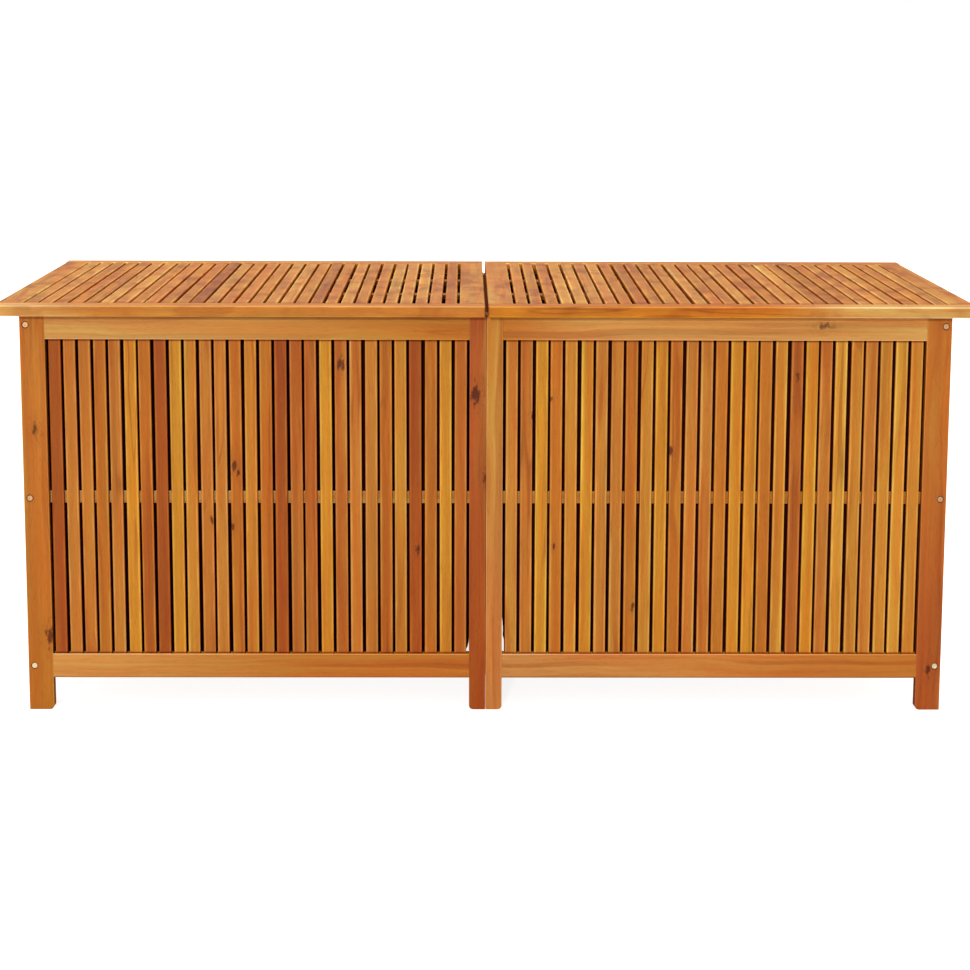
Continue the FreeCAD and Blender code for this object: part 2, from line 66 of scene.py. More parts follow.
COLOURS = {
    "russet": (168, 84, 35), "brown": (181, 101, 42), "orange": (188, 109, 41), "tan": (193, 118, 49),
    "honey": (198, 126, 48), "gold": (203, 132, 44), "yellow": (209, 143, 54), "pale": (210, 153, 84),
    "copper": (176, 92, 44), "amber": (197, 112, 27), "cream": (219, 162, 90), "clay": (202, 131, 70), "bisque": (197, 130, 56), "rose": (188, 115, 44),
    "umber": (172, 99, 38), "walnut": (120, 66, 34),
}
TONES = ("russet", "brown", "orange", "tan", "honey", "gold", "yellow", "pale", "rose", "bisque", "umber")
TONE_LETTERS = "rbothgypsnu"


GLOSS_SHARE = 0.012  # what the surface's gloss adds to the colour in this studio


def linear(name):
    """Named colour without its gloss, as linear red, green, blue and alpha."""
    channels = [value / 255 for value in COLOURS[name]]
    channels = [c / 12.92 if c <= 0.04045 else ((c + 0.055) / 1.055) ** 2.4 for c in channels]
    return [max(c - GLOSS_SHARE, 0.004) for c in channels] + [1.0]


# --- Node graphs ---

class Graph:
    """Small helper round a node tree."""

    def __init__(self, tree):
        self.tree = tree

    def node(self, kind, inputs=None, **settings):
        made = self.tree.nodes.new(kind)
        for name, value in settings.items():
            setattr(made, name, value)
        for name, value in (inputs or {}).items():
            self.feed(made.inputs[name], value)
        return made

    def feed(self, socket, value):
        if isinstance(value, bpy.types.NodeSocket):
            self.tree.links.new(value, socket)
        else:
            socket.default_value = value

    def math(self, operation, a, b=0.0, clamp=False):
        return self.node("ShaderNodeMath", {0: a, 1: b}, operation=operation, use_clamp=clamp).outputs[0]

    def vector(self, operation, a, b=(0.0, 0.0, 0.0)):
        made = self.node("ShaderNodeVectorMath", {0: a, 1: b}, operation=operation)
        return made.outputs["Value" if operation == "LENGTH" else "Vector"]

    def mix(self, factor, a, b, blend="MIX"):
        made = self.node("ShaderNodeMix", data_type="RGBA", blend_type=blend)
        for index, value in ((0, factor), (6, a), (7, b)):
            self.feed(made.inputs[index], value)
        return made.outputs[2]

    def ramp(self, factor, stops, interpolation="LINEAR"):
        made = self.node("ShaderNodeValToRGB", {0: factor})
        made.color_ramp.interpolation = interpolation
        while len(made.color_ramp.elements) < len(stops):
            made.color_ramp.elements.new(1.0)
        for element, (place, colour) in zip(made.color_ramp.elements, stops):
            element.position, element.color = place, colour
        return made.outputs[0]

    def smooth_step(self, value, low, high):
        made = self.node("ShaderNodeMapRange", {0: value, 1: low, 2: high}, interpolation_type="SMOOTHSTEP")
        return made.outputs[0]

    def noise(self, vector, detail=2.0, roughness=0.5, distortion=0.0):
        return self.node("ShaderNodeTexNoise", {"Vector": vector, "Scale": 1.0, "Detail": detail,
                         "Roughness": roughness, "Distortion": distortion}).outputs[0]


def new_material(name):
    material = bpy.data.materials.new(name)
    material.use_nodes = True
    graph = Graph(material.node_tree)
    return material, graph, material.node_tree.nodes["Principled BSDF"]


# --- Wood ---

# What each mark in the wood, and each painted shade or highlight, does to the colour under it
DARK_BAND, LIGHT_BAND = (0.72, 0.56, 0.46, 1), (1.20, 1.38, 1.52, 1)
HEARTWOOD, SAPWOOD = (0.74, 0.56, 0.45, 1), (1.14, 1.38, 1.50, 1)
LINE, PORE, KNOT = (0.50, 0.36, 0.30, 1), (0.45, 0.33, 0.28, 1), (0.26, 0.17, 0.16, 1)
MOTTLE_DARK, MOTTLE_LIGHT = (0.66, 0.48, 0.32, 1), (1.18, 1.30, 1.22, 1)
RED_HUE, YELLOW_HUE = (1.03, 0.86, 0.72, 1), (0.98, 1.10, 1.12, 1)
# Painted shade on the slats' sides, deep in the gaps between them.
PAINTED_GAP_SHADE = (0.80, 0.48, 0.28, 1)
PAINTED_JOINT_SHADE = (0.50, 0.27, 0.08, 1)  # painted shade where two boards meet and under the lids
SLAT_SHADE_REACH, RAIL_SHADE_REACH = 0.0050, 0.0060  # how far it reaches
# EDGE_HIGHLIGHT is a painted highlight along eased edges; END_GRAIN is the darker end grain.
EDGE_HIGHLIGHT, END_GRAIN = (1.45, 2.10, 4.60, 1), (0.50, 0.38, 0.32, 1)


def grain_group():
    """Wood grain along Z: colour from a base colour, height for bump, and a roughness."""
    tree = bpy.data.node_groups.new("wood_grain", "ShaderNodeTree")
    for name, kind in (("Vector", "NodeSocketVector"), ("Seed", "NodeSocketFloat"), ("Base", "NodeSocketColor"),
                       ("Knot", "NodeSocketFloat"), ("Mottle", "NodeSocketFloat")):
        tree.interface.new_socket(name, in_out="INPUT", socket_type=kind)
    for name, kind in (("Color", "NodeSocketColor"), ("Height", "NodeSocketFloat"),
                       ("Roughness", "NodeSocketFloat")):
        tree.interface.new_socket(name, in_out="OUTPUT", socket_type=kind)
    graph = Graph(tree)
    given = graph.node("NodeGroupInput").outputs
    shift = graph.vector("MULTIPLY", graph.node("ShaderNodeCombineXYZ",
                         {0: given["Seed"], 1: given["Seed"], 2: given["Seed"]}).outputs[0],
                         (13.1, 7.7, 3.3))
    place = graph.vector("ADD", given["Vector"], shift)
    sway = graph.noise(graph.vector("MULTIPLY", place, (9, 9, 3.5)), detail=1)
    sway = graph.math("ADD", graph.math("MULTIPLY", sway, 0.03), graph.math("MULTIPLY", given["Knot"], 0.012))
    place = graph.vector("ADD", place, graph.node("ShaderNodeCombineXYZ", {0: sway, 1: sway}).outputs[0])

    def layer(across, along, detail=2.0, roughness=0.5, gain=2.2):
        """Noise drawn out along the grain, spread round a half."""
        raw = graph.noise(graph.vector("MULTIPLY", place, (across, across, along)), detail, roughness)
        return graph.math("ADD", 0.5, graph.math("MULTIPLY", graph.math("SUBTRACT", raw, 0.5), gain), clamp=True)

    def marked(colour, amount, strength, tint):
        """Colour multiplied by a tint where a mark is."""
        return graph.mix(graph.math("MULTIPLY", amount, strength), colour, graph.mix(1.0, colour, tint, "MULTIPLY"))

    bands, streaks, fibres = layer(95, 1.3), layer(300, 4.5, gain=2.6), layer(1000, 22.0, detail=1.0)
    tone = graph.math("ADD", graph.math("MULTIPLY", layer(20, 1.6), 0.38), graph.math("MULTIPLY", bands, 0.34))
    tone = graph.math("ADD", tone, graph.math("MULTIPLY", streaks, 0.17))
    tone = graph.math("ADD", tone, graph.math("MULTIPLY", fibres, 0.11))
    colour = graph.mix(tone, graph.mix(1.0, given["Base"], DARK_BAND, "MULTIPLY"),
                       graph.mix(1.0, given["Base"], LIGHT_BAND, "MULTIPLY"))
    hue = layer(60, 2.4, detail=1.0, gain=2.6)
    colour = graph.mix(1.0, colour, graph.mix(hue, RED_HUE, YELLOW_HUE), "MULTIPLY")
    colour = marked(colour, graph.smooth_step(layer(36, 0.7, detail=1.0), 0.68, 0.88), 0.55, SAPWOOD)
    colour = marked(colour, graph.smooth_step(layer(48, 0.9, detail=1.0), 0.70, 0.92), 0.60, HEARTWOOD)
    contour = graph.math("ABSOLUTE", graph.math("SUBTRACT", layer(34, 0.8, detail=1.0), 0.42))
    lines = graph.math("SUBTRACT", 1.0, graph.smooth_step(contour, 0.004, 0.045))
    lines = graph.math("MULTIPLY", lines, graph.smooth_step(layer(6, 2.5), 0.55, 0.85))
    colour = marked(colour, lines, 0.55, LINE)
    pores = graph.smooth_step(layer(1300, 50.0, detail=0.0), 0.80, 0.98)
    colour = marked(colour, pores, 0.22, PORE)
    mottle = layer(28, 13.0, detail=2.5, roughness=0.55, gain=3.2)
    colour = marked(colour, graph.math("MULTIPLY", graph.smooth_step(mottle, 0.45, 0.0), given["Mottle"]),
                    0.75, MOTTLE_DARK)
    colour = marked(colour, graph.math("MULTIPLY", graph.smooth_step(mottle, 0.60, 1.0), given["Mottle"]),
                    0.75, MOTTLE_LIGHT)
    colour = marked(colour, given["Knot"], 1.0, KNOT)
    height = graph.math("ADD", graph.math("MULTIPLY", streaks, 0.4), graph.math("MULTIPLY", fibres, 0.4))
    height = graph.math("SUBTRACT", height, graph.math("MULTIPLY", pores, 0.5))
    rough = graph.math("ADD", 0.42, graph.math("MULTIPLY", streaks, 0.16))
    graph.node("NodeGroupOutput", {"Color": colour, "Height": height, "Roughness": rough})
    return tree


GRAIN = grain_group()
GRAIN_ORDER = {"X": (1, 2, 0), "Y": (0, 2, 1), "Z": (0, 1, 2)}
STRETCH = {"X": (0.45, 1, 1), "Y": (1, 0.45, 1), "Z": (1, 1, 0.45)}


def knot_mask(graph, position, knots, axis):
    """Dark cores and faint rings round knots, each a place and a radius, drawn out along the grain."""
    ragged = graph.noise(graph.vector("MULTIPLY", position, (190, 190, 90)), detail=3)
    ragged = graph.math("MULTIPLY", graph.math("SUBTRACT", ragged, 0.5), 3.0)
    total = 0.0
    for centre, radius in knots:
        offset = graph.vector("MULTIPLY", graph.vector("SUBTRACT", position, centre), STRETCH[axis])
        distance = graph.math("ADD", graph.math("DIVIDE", graph.vector("LENGTH", offset), radius), ragged)
        core = graph.math("SUBTRACT", 1.0, graph.smooth_step(distance, 0.35, 1.25))
        rings = graph.math("MULTIPLY", graph.math("ADD", graph.math("SINE", graph.math(
            "MULTIPLY", distance, 8.0)), 1.0), 0.10)
        halo = graph.math("MULTIPLY", rings, graph.math("SUBTRACT", 1.0, graph.smooth_step(distance, 1.0, 3.2)))
        total = graph.math("ADD", total, graph.math("MAXIMUM", graph.math("MULTIPLY", core, 0.95), halo))
    return graph.math("MINIMUM", total, 1.0)


def wood(name, axis, first, last=None, span=None, knots=(), seed=0.0, sides="", painted_shades=(), mottle=0.0):
    """Oiled hardwood with its grain along an axis. The colour runs from first to last over a span.
    Painted shades are an axis, a place on it and a reach: along each the wood is darkened as painted shade. Slats give
    the axis that their sides face, and take their tone and seed from each board."""
    material, graph, shader = new_material(name)
    position = graph.node("ShaderNodeTexCoord").outputs["Object"]
    split = graph.node("ShaderNodeSeparateXYZ", {0: position}).outputs
    turned = graph.node("ShaderNodeCombineXYZ",
                        {number: split[source] for number, source in enumerate(GRAIN_ORDER[axis])}).outputs[0]
    if sides:
        tone = graph.node("ShaderNodeAttribute", attribute_name="tone").outputs["Fac"]
        stops = [(number / len(TONES), linear(tone_name)) for number, tone_name in enumerate(TONES)]
        base = graph.ramp(tone, stops, "CONSTANT")
        seed = graph.node("ShaderNodeAttribute", attribute_name="seed").outputs["Fac"]
    elif last:
        along = split["XYZ".index(axis)]
        base = graph.mix(graph.smooth_step(along, span[0], span[1]), linear(first), linear(last))
    else:
        base = linear(first)
    knot = knot_mask(graph, position, knots, axis) if knots else 0.0
    grain = graph.node("ShaderNodeGroup", node_tree=GRAIN)
    for socket, value in (("Vector", turned), ("Seed", seed), ("Base", base), ("Knot", knot),
                          ("Mottle", mottle)):
        graph.feed(grain.inputs[socket], value)
    facing = graph.vector("ABSOLUTE", graph.node("ShaderNodeTexCoord").outputs["Normal"])
    facing = graph.node("ShaderNodeSeparateXYZ", {0: facing}).outputs
    end_grain = graph.smooth_step(facing["XYZ".index(axis)], 0.7, 0.95)
    # Painted highlight where the surface turns over an eased edge.
    flattest = graph.math("MAXIMUM", graph.math("MAXIMUM", facing[0], facing[1]), facing[2])
    highlit = graph.math("SUBTRACT", 1.0, graph.smooth_step(flattest, 0.92, 0.998))
    # On slats the painted highlight also reaches over the face by its edge_lit share, patchy along the grain.
    if sides:
        edge_lit = graph.node("ShaderNodeAttribute", attribute_name="edge_lit").outputs["Fac"]
        patchy = graph.noise(graph.vector("MULTIPLY", turned, (70, 70, 14)), detail=1)
        patchy = graph.smooth_step(patchy, 0.30, 0.62)
        highlit = graph.math("MAXIMUM", highlit, graph.math("MULTIPLY", edge_lit, patchy))
    colour = graph.mix(graph.math("MULTIPLY", end_grain, 0.45), grain.outputs["Color"],
                       graph.mix(1.0, base, END_GRAIN, "MULTIPLY"))
    colour = graph.mix(graph.math("MULTIPLY", highlit, 0.7), colour,
                       graph.mix(1.0, colour, EDGE_HIGHLIGHT, "MULTIPLY"))
    roughness = grain.outputs["Roughness"]
    # Painted shade: the wood darkens along each given line where boards meet and under the lids; faces that look up
    # are left out.
    for shaded_axis, place_on_axis, reach in painted_shades:
        away = graph.math("ABSOLUTE", graph.math("SUBTRACT", split["XYZ".index(shaded_axis)], place_on_axis))
        painted_shade = graph.math("SUBTRACT", 1.0, graph.smooth_step(away, 0.3 * reach, reach))
        if shaded_axis == "Z":
            level = graph.smooth_step(facing[2], 0.75, 0.98)
            painted_shade = graph.math("MULTIPLY", painted_shade, graph.math("SUBTRACT", 1.0, level))
        colour = graph.mix(painted_shade, colour, graph.mix(1.0, colour, PAINTED_JOINT_SHADE, "MULTIPLY"))
        roughness = graph.math("MAXIMUM", roughness, painted_shade)
    # Painted shade: the slats' sides in the gaps are darkened.
    if sides:
        gap_side_shade = graph.smooth_step(facing["XYZ".index(sides)], 0.75, 0.98)
        colour = graph.mix(gap_side_shade, colour, graph.mix(1.0, colour, PAINTED_GAP_SHADE, "MULTIPLY"))
    bump = graph.node("ShaderNodeBump", {"Strength": 0.35, "Distance": 0.0004,
                                         "Height": grain.outputs["Height"]}).outputs[0]
    for socket, value in (("Base Color", colour), ("Roughness", roughness),
                          ("Normal", bump), ("Specular IOR Level", 0.18)):
        graph.feed(shader.inputs[socket], value)
    return material


EDGE_EASE, LID_EASE = 0.0016, 0.0024


def solid_centres(node):
    """Middles of a CAD node's separate solids."""
    mesh = bmesh.new()
    mesh.from_mesh(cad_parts[node].data)
    bmesh.ops.remove_doubles(mesh, verts=mesh.verts, dist=1e-5)
    seen, centres = set(), []
    for vertex in mesh.verts:
        if vertex in seen:
            continue
        group, waiting = [], [vertex]
        seen.add(vertex)
        while waiting:
            current = waiting.pop()
            group.append(current.co.copy())
            for edge in current.link_edges:
                other = edge.other_vert(current)
                if other not in seen:
                    seen.add(other)
                    waiting.append(other)
        centres.append(sum(group, Vector()) / len(group))
    mesh.free()
    return centres


def dress(node, material):
    """Gives every face of a CAD node one material."""
    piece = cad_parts[node]
    piece.data.materials.clear()
    piece.data.materials.append(material)
    return piece


def dress_board(node, material):
    """Gives a CAD board its wood and eases its edges."""
    ease = dress(node, material).modifiers.new("eased_edges", "BEVEL")
    ease.width = LID_EASE if "lid" in node else EDGE_EASE
    ease.segments, ease.limit_method, ease.angle_limit = 2, "ANGLE", math.radians(40)
    ease.use_clamp_overlap = True
    ease.harden_normals = True


# --- Slats: remade with eased edges, uneven gaps and a little tilt ---

SLAT_WIDTH = 0.022
SLAT_EASE = 0.0022
SLAT_HIGHLIGHT_REACH = 0.0022     # how far the painted edge highlight reaches over the slat's face
ARC_STEPS = 3
LENGTH_STEPS = 6


def rounded_section(width, thick, ease):
    """Outline of a board's cross-section, centred on the origin: each point and how much painted edge highlight it
    takes.
    """
    points = []
    flat = width / 2 - ease - SLAT_HIGHLIGHT_REACH
    for quarter, (sx, sy) in enumerate(((1, 1), (-1, 1), (-1, -1), (1, -1))):
        centre = Vector((sx * (width / 2 - ease), sy * (thick / 2 - ease)))
        for step in range(ARC_STEPS + 1):
            angle = math.pi / 2 * (quarter + step / ARC_STEPS)
            points.append((centre + Vector((math.cos(angle), math.sin(angle))) * ease, 1.0))
        if sx == sy:
            points += [(Vector((side * sy * flat, sy * thick / 2)), 0.0) for side in (1, -1)]
    return points


def add_board(mesh, start, end, across, outward, width, thick, tone, seed, lean, bow):
    """Board from start to end. It leans across by lean metres and bows outward by bow metres."""
    tone_layer = mesh.verts.layers.float["tone"]
    seed_layer = mesh.verts.layers.float["seed"]
    edge_lit_layer = mesh.verts.layers.float["edge_lit"]
    rings = []
    for step in range(LENGTH_STEPS + 1):
        t = step / LENGTH_STEPS
        centre = start.lerp(end, t) + across * (lean * (t - 0.5)) + outward * (bow * math.sin(math.pi * t))
        ring = []
        for point, edge_lit in rounded_section(width, thick, SLAT_EASE):
            vertex = mesh.verts.new(centre + across * point.x + outward * point.y)
            vertex[tone_layer], vertex[seed_layer], vertex[edge_lit_layer] = tone, seed, edge_lit
            ring.append(vertex)
        rings.append(ring)
    count = len(rings[0])
    for low, high in zip(rings, rings[1:]):
        for number in range(count):
            after = (number + 1) % count
            mesh.faces.new((low[number], low[after], high[after], high[number]))
    mesh.faces.new(list(reversed(rings[0])))
    mesh.faces.new(rings[-1])


def tone_value(letter):
    """Middle of the letter's stop in the ramp of tones."""
    return (TONE_LETTERS.index(letter) + 0.5) / len(TONES)


def slat_piece(node, body, spread, grain, letters, material, chance, uneven=0.0009):
    """Remakes a node's slats, spread along one axis with the grain along another."""
    low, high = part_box(node)
    axes = {"X": Vector((1, 0, 0)), "Y": Vector((0, 1, 0)), "Z": Vector((0, 0, 1))}
    across, along = axes[spread], axes[grain]
    outward = next(axis for name, axis in axes.items() if name not in (spread, grain))
    centre = (low + high) / 2
    thick = (high - low).dot(outward)
    first = low.dot(across) + SLAT_WIDTH / 2
    pitch = ((high - low).dot(across) - SLAT_WIDTH) / (len(letters) - 1)
    mesh = bmesh.new()
    mesh.verts.layers.float.new("tone")
    mesh.verts.layers.float.new("seed")
    mesh.verts.layers.float.new("edge_lit")
    for number, letter in enumerate(letters):
        shift = chance.uniform(-uneven, uneven) if 0 < number < len(letters) - 1 else 0.0
        middle = centre + across * (first + number * pitch + shift - centre.dot(across))
        start = middle + along * (low.dot(along) - centre.dot(along))
        end = middle + along * (high.dot(along) - centre.dot(along))
        width = SLAT_WIDTH - chance.uniform(0.0, 0.0008)
        add_board(mesh, start, end, across, outward, width, thick, tone_value(letter),
                  chance.uniform(0, 40), chance.uniform(-uneven, uneven), 0.0)
    mesh.normal_update()
    bmesh.ops.recalc_face_normals(mesh, faces=mesh.faces)
    data = bpy.data.meshes.new(node + "_boards")
    mesh.to_mesh(data)
    mesh.free()
    data.shade_smooth()
    data.set_sharp_from_angle(angle=math.radians(50))
    piece = bpy.data.objects.new(node + "_boards", data)
    bpy.context.scene.collection.objects.link(piece)
    data.materials.append(material)
    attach(piece, body)
    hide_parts(node)
    return piece


FRONT_LEFT_TONES = "rtbotgorghttohorbbgbttohrogb"
FRONT_RIGHT_TONES = "ttgohgttohgottoggoybgtyhthyh"
LID_TONES = {"left": "nnsssnnstssunstsnnsusnssnnntu", "right": "sssnnnnsusssnssnsstnsusntnssn"}


# Knots in the front slats: side, number from the left, metres aside of its middle, height and radius
SLAT_KNOTS = (
    ("left", 13, -0.004, 0.455, 0.0045), ("left", 13, 0.003, 0.441, 0.0035), ("left", 11, 0.009, 0.352, 0.0040),
    ("left", 13, -0.009, 0.345, 0.0045), ("left", 20, 0.000, 0.640, 0.0070), ("left", 25, 0.004, 0.300, 0.0050),
    ("right", 4, -0.010, 0.580, 0.0035), ("right", 4, -0.003, 0.306, 0.0028), ("right", 2, 0.010, 0.545, 0.0035),
    ("right", 12, -0.010, 0.483, 0.0050), ("right", 9, 0.006, 0.195, 0.0040), ("right", 20, 0.002, 0.620, 0.0045),
)


def front_slat_x(side, number):
    """Middle of a front slat, counted from 1 at the left."""
    low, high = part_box(f"front_{side}_slats")
    letters = FRONT_LEFT_TONES if side == "left" else FRONT_RIGHT_TONES
    pitch = (high.x - low.x - SLAT_WIDTH) / (len(letters) - 1)
    return low.x + SLAT_WIDTH / 2 + (number - 1) * pitch


def random_tones(count, letters, chance):
    return "".join(chance.choice(letters) for _ in range(count))


def slats():
    """All the slats of the panels and lids."""
    chance = random.Random(11)
    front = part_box("front_left_slats")[0].y
    knots = [((front_slat_x(side, number) + aside, front, height), radius)
             for side, number, aside, height, radius in SLAT_KNOTS]
    # Painted shade on the slats next to the panel rails and the lids' rails.
    shade_at_rails = [("Z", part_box("front_left_bottom_rail")[1].z, SLAT_SHADE_REACH),
             ("Z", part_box("front_left_top_rail")[0].z, SLAT_SHADE_REACH)]
    shade_at_lid_rails = [("Y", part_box("left_lid_front_rail")[1].y, SLAT_SHADE_REACH / 2),
                 ("Y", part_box("left_lid_rear_rail")[0].y, SLAT_SHADE_REACH / 2)]
    upright = wood("slat_wood", "Z", "tan", knots=knots, sides="X", painted_shades=shade_at_rails)
    end_upright = wood("end_slat_wood", "Z", "tan", sides="Y", painted_shades=shade_at_rails)
    lengthwise = wood("lid_slat_wood", "Y", "tan", sides="X", painted_shades=shade_at_lid_rails, mottle=1.0)
    for side, letters in (("left", FRONT_LEFT_TONES), ("right", FRONT_RIGHT_TONES)):
        slat_piece(f"front_{side}_slats", "body", "X", "Z", letters, upright, chance)
        rear = random_tones(len(letters), "rbbootthhggy", chance)
        slat_piece(f"rear_{side}_slats", "body", "X", "Z", rear, upright, chance)
        end = random_tones(len(solid_centres(f"{side}_end_slats")), "rbbootthhggy", chance)
        slat_piece(f"{side}_end_slats", "body", "Y", "Z", end, end_upright, chance)
        lid = slat_piece(f"{side}_lid_slats", f"{side}_lid", "X", "Y", LID_TONES[side], lengthwise, chance)


# --- Boards of the frame and the lids ---

def boards():
    """Gives the posts, rails and other boards their wood."""
    x_low, x_high = LOWEST.x, HIGHEST.x
    left, right = (x_low, 0.0), (0.0, x_high)
    height = (LOWEST.z, HIGHEST.z)
    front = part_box("front_left_corner_post")[0].y
    # Painted shadow under the lids' overhang on posts and rails, painted shade along the bottom rails' lower edges,
    # and painted shade on the lid boards along the gap between the lids.
    shadow_under_lid = ("Z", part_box("front_left_corner_post")[1].z, RAIL_SHADE_REACH)
    shade_under_rail = ("Z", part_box("front_left_bottom_rail")[0].z, RAIL_SHADE_REACH / 2)
    shade_between_lids = ("X", 0.0, RAIL_SHADE_REACH)
    looks = {
        "front_left_corner_post": ("Z", "orange", "tan", height,
                                   (((-0.811, front, 0.518), 0.0065), ((-0.7945, front, 0.139), 0.0085))),
        "front_left_centre_post": ("Z", "russet", "copper", height,
                                   (((-0.0195, front, 0.588), 0.0085), ((-0.001, front, 0.432), 0.006))),
        "front_right_centre_post": ("Z", "clay", "bisque", height, ()),
        "front_right_corner_post": ("Z", "copper", "tan", height, (((0.812, front, 0.075), 0.006),)),
        "front_left_top_rail": ("X", "pale", "orange", left, ()),
        "front_right_top_rail": ("X", "honey", "cream", (0.0, x_high / 4),
                                 (((0.608, front, 0.711), 0.0065),)),
        "front_left_bottom_rail": ("X", "pale", "tan", (x_low, x_low / 3), ()),
        "front_right_bottom_rail": ("X", "clay", "tan", right, ()),
        "rear_left_corner_post": ("Z", "tan", "orange", height, ()),
        "rear_right_corner_post": ("Z", "orange", "brown", height, ()),
        "rear_left_centre_post": ("Z", "tan", "honey", height, ()),
        "rear_right_centre_post": ("Z", "brown", "orange", height, ()),
        "rear_left_top_rail": ("X", "honey", "tan", left, ()),
        "rear_right_top_rail": ("X", "tan", "orange", right, ()),
        "rear_left_bottom_rail": ("X", "orange", "tan", left, ()),
        "rear_right_bottom_rail": ("X", "tan", "honey", right, ()),
        "left_lid_front_rail": ("X", "cream", "tan", (x_low, 0.75 * x_low), ()),
        "right_lid_front_rail": ("X", "amber", "pale", (0.55 * x_high, 0.8 * x_high), ()),
        "left_lid_rear_rail": ("X", "bisque", "rose", left, ()),
        "right_lid_rear_rail": ("X", "bisque", "rose", right, ()),
    }
    for number, (node, (axis, first, last, span, knots)) in enumerate(looks.items()):
        mottle = 0.6 if "lid" in node else 0.0
        if "lid" in node:
            painted_shades = [shade_between_lids]
        elif "bottom_rail" in node:
            painted_shades = [shade_under_rail]
        else:
            painted_shades = [shadow_under_lid]
        dress_board(node, wood(node + "_wood", axis, first, last, span, knots, 1.7 * number, painted_shades=painted_shades,
                               mottle=mottle))
    depth = (LOWEST.y, HIGHEST.y)
    for number, side in enumerate(("left", "right")):
        seed = 40 + 5 * number
        dress_board(f"{side}_end_stiles", wood(f"{side}_stile_wood", "Z", "orange", "tan", height, seed=seed))
        dress_board(f"{side}_end_rails", wood(f"{side}_end_rail_wood", "Y", "tan", "honey", depth, seed=seed))
        dress_board(f"{side}_end_batten", wood(f"{side}_end_batten_wood", "Y", "honey", "pale", depth, seed=seed))
        dress_board(f"{side}_lid_end_boards", wood(f"{side}_lid_end_wood", "Y", "bisque", "rose", depth,
                                                   seed=seed, painted_shades=[shade_between_lids], mottle=1.0))
        dress_board(f"{side}_lid_battens", wood(f"{side}_lid_batten_wood", "X", "bisque", "tan", left, seed=seed))
    inner_x = wood("inner_wood_x", "X", "pale", "honey", (x_low, x_high))
    inner_y = wood("inner_wood_y", "Y", "tan", "bisque", depth)
    inner_z = wood("inner_wood_z", "Z", "tan", "honey", height)
    for node in ("front_left_batten", "front_right_batten", "rear_left_batten", "rear_right_batten",
                 "floor_cleats"):
        dress_board(node, inner_x)
    dress_board("floor_slats", inner_y)
    # Painted shade on the centre beams under the gap between the lids.
    dress_board("centre_beams", wood("centre_beam_wood", "Y", "tan", "bisque", depth, seed=3.0,
                                     painted_shades=[("X", 0.0, 2 * RAIL_SHADE_REACH)]))
    dress_board("centre_uprights", inner_z)


# --- Metal ---

def metal(name, colour, rough, scratches, shaded_tint=None, span=None):
    """Plated metal with fine marks in its gloss. Its colour may change to a darker shaded tint over a span of height:
    painted shade.
    """
    material, graph, shader = new_material(name)
    position = graph.node("ShaderNodeTexCoord").outputs["Object"]
    marks = graph.noise(graph.vector("MULTIPLY", position, (900, 900, 900)), detail=4)
    cloud = graph.noise(graph.vector("MULTIPLY", position, (140, 140, 140)), detail=2)
    tint = graph.mix(cloud, [c * 0.78 for c in colour] + [1], [*colour, 1])
    if shaded_tint:
        height = graph.node("ShaderNodeSeparateXYZ", {0: position}).outputs[2]
        tint = graph.mix(graph.smooth_step(height, *span), tint, [*shaded_tint, 1])
    bump = graph.node("ShaderNodeBump", {"Strength": 0.2, "Distance": 0.0001, "Height": marks}).outputs[0]
    roughness = graph.math("ADD", rough, graph.math("MULTIPLY", marks, scratches))
    shader.inputs["Metallic"].default_value = 1.0
    for socket, value in (("Base Color", tint), ("Roughness", roughness), ("Normal", bump)):
        graph.feed(shader.inputs[socket], value)
    return material


def fittings():
    # The zinc darkens to a browner tint higher up, towards the lids: painted shade.
    zinc = metal("zinc", (0.95, 0.80, 0.52), 0.30, 0.20, (0.62, 0.38, 0.22), (LOWEST.z + 0.1, HIGHEST.z / 2))
    steel = metal("hinge_metal", (0.58, 0.57, 0.54), 0.32, 0.22)
    dark = metal("stud_metal", (0.10, 0.09, 0.085), 0.35, 0.2)
    for node in ("corner_bolts", "barrel_nuts"):
        dress(node, zinc)
    for node in ("frame_screws", "hinge_body_screws", "left_lid_hinge_screws", "right_lid_hinge_screws",
                 "hinge_body_leaves", "left_lid_hinge_leaves", "right_lid_hinge_leaves", "hinge_pins"):
        dress(node, steel)
    dress("liner_studs", dark)


# --- Liners ---

def fabric(name, darkest, lightest):
    """Dark coated weave."""
    material, graph, shader = new_material(name)
    position = graph.node("ShaderNodeTexCoord").outputs["Object"]
    threads = [graph.math("SINE", graph.math("MULTIPLY", coordinate, 5200.0))
               for coordinate in graph.node("ShaderNodeSeparateXYZ", {0: position}).outputs]
    weave = graph.math("MULTIPLY", graph.math("ADD", threads[0], threads[1]), threads[2])
    cloud = graph.noise(graph.vector("MULTIPLY", position, (9, 9, 9)), detail=3)
    colour = graph.mix(cloud, [*darkest, 1], [*lightest, 1])
    bump = graph.node("ShaderNodeBump", {"Strength": 0.15, "Distance": 0.0002, "Height": weave}).outputs[0]
    shader.inputs["Roughness"].default_value = 0.75
    shader.inputs["Specular IOR Level"].default_value = 0.05
    for socket, value in (("Base Color", colour), ("Normal", bump)):
        graph.feed(shader.inputs[socket], value)
    return material


BAG_STEP = 0.016       # between the threads that the bag is worked out on
BAG_SLACK = 0.025      # share by which the cloth is larger than the space
BAG_THICK = 0.0012
BAG_FRAMES = 26
STUD_HOLD = 0.016      # cloth this near a stud stays where it is
HEM_WIDTH, HEM_THICK = 0.016, 0.0009


